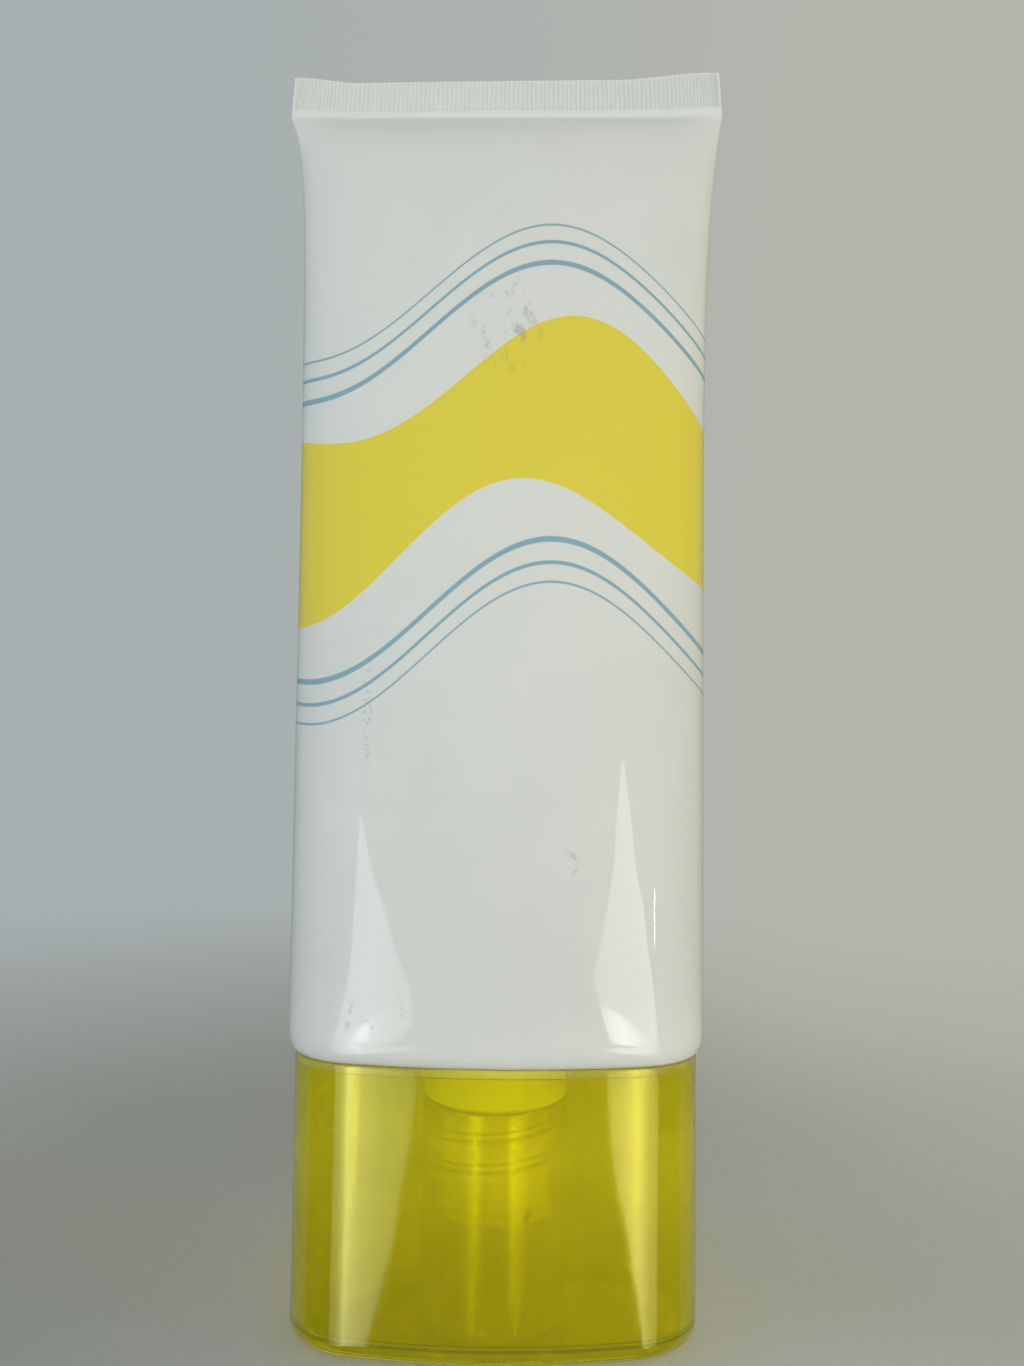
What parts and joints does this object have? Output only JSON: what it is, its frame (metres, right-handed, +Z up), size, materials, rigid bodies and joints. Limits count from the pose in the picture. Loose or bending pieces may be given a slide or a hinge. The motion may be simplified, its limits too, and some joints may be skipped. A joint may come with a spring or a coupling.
{
  "type": "squeeze tube with oval screw cap",
  "caption": "Flat-sealed squeeze tube of printed white plastic that stands on a translucent yellow oval screw cap.",
  "frame": {"origin": "on the surface that the tube stands on, under the middle of the cap's flat end", "axes": "+Z up the tube from the cap to the sealed end, X across its width, -Y the printed front"},
  "size_m": [0.06, 0.0248, 0.17],
  "materials": {
    "cap_plastic": "clear yellow polypropylene, polished",
    "wad_foam": "white polyethylene foam",
    "head_plastic": "white moulded polyethylene",
    "sleeve_plastic": "white polyethylene film with a semi-gloss printed face",
    "cream": "smooth white cream"
  },
  "bodies": {
    "cap": {"cap": "cap_plastic"},
    "wad": {"wad": "wad_foam"},
    "tube": {"tube_head": "head_plastic", "sleeve": "sleeve_plastic", "cream": "cream"}
  },
  "joints": [
    {"name": "unscrew", "type": "hinge", "parent": "cap", "child": "wad", "pos_m": [0, 0, 0.0165], "axis": [0, 0, 1], "range_deg": [0, 1440]},
    {"name": "thread_lift", "type": "slide", "parent": "wad", "child": "tube", "axis": [0, 0, 1], "range_m": [0, 0.0153]}
  ],
  "couplings": [
    {"joint": "thread_lift", "follows": "unscrew", "m_per_rad": 0.00060479}
  ]
}
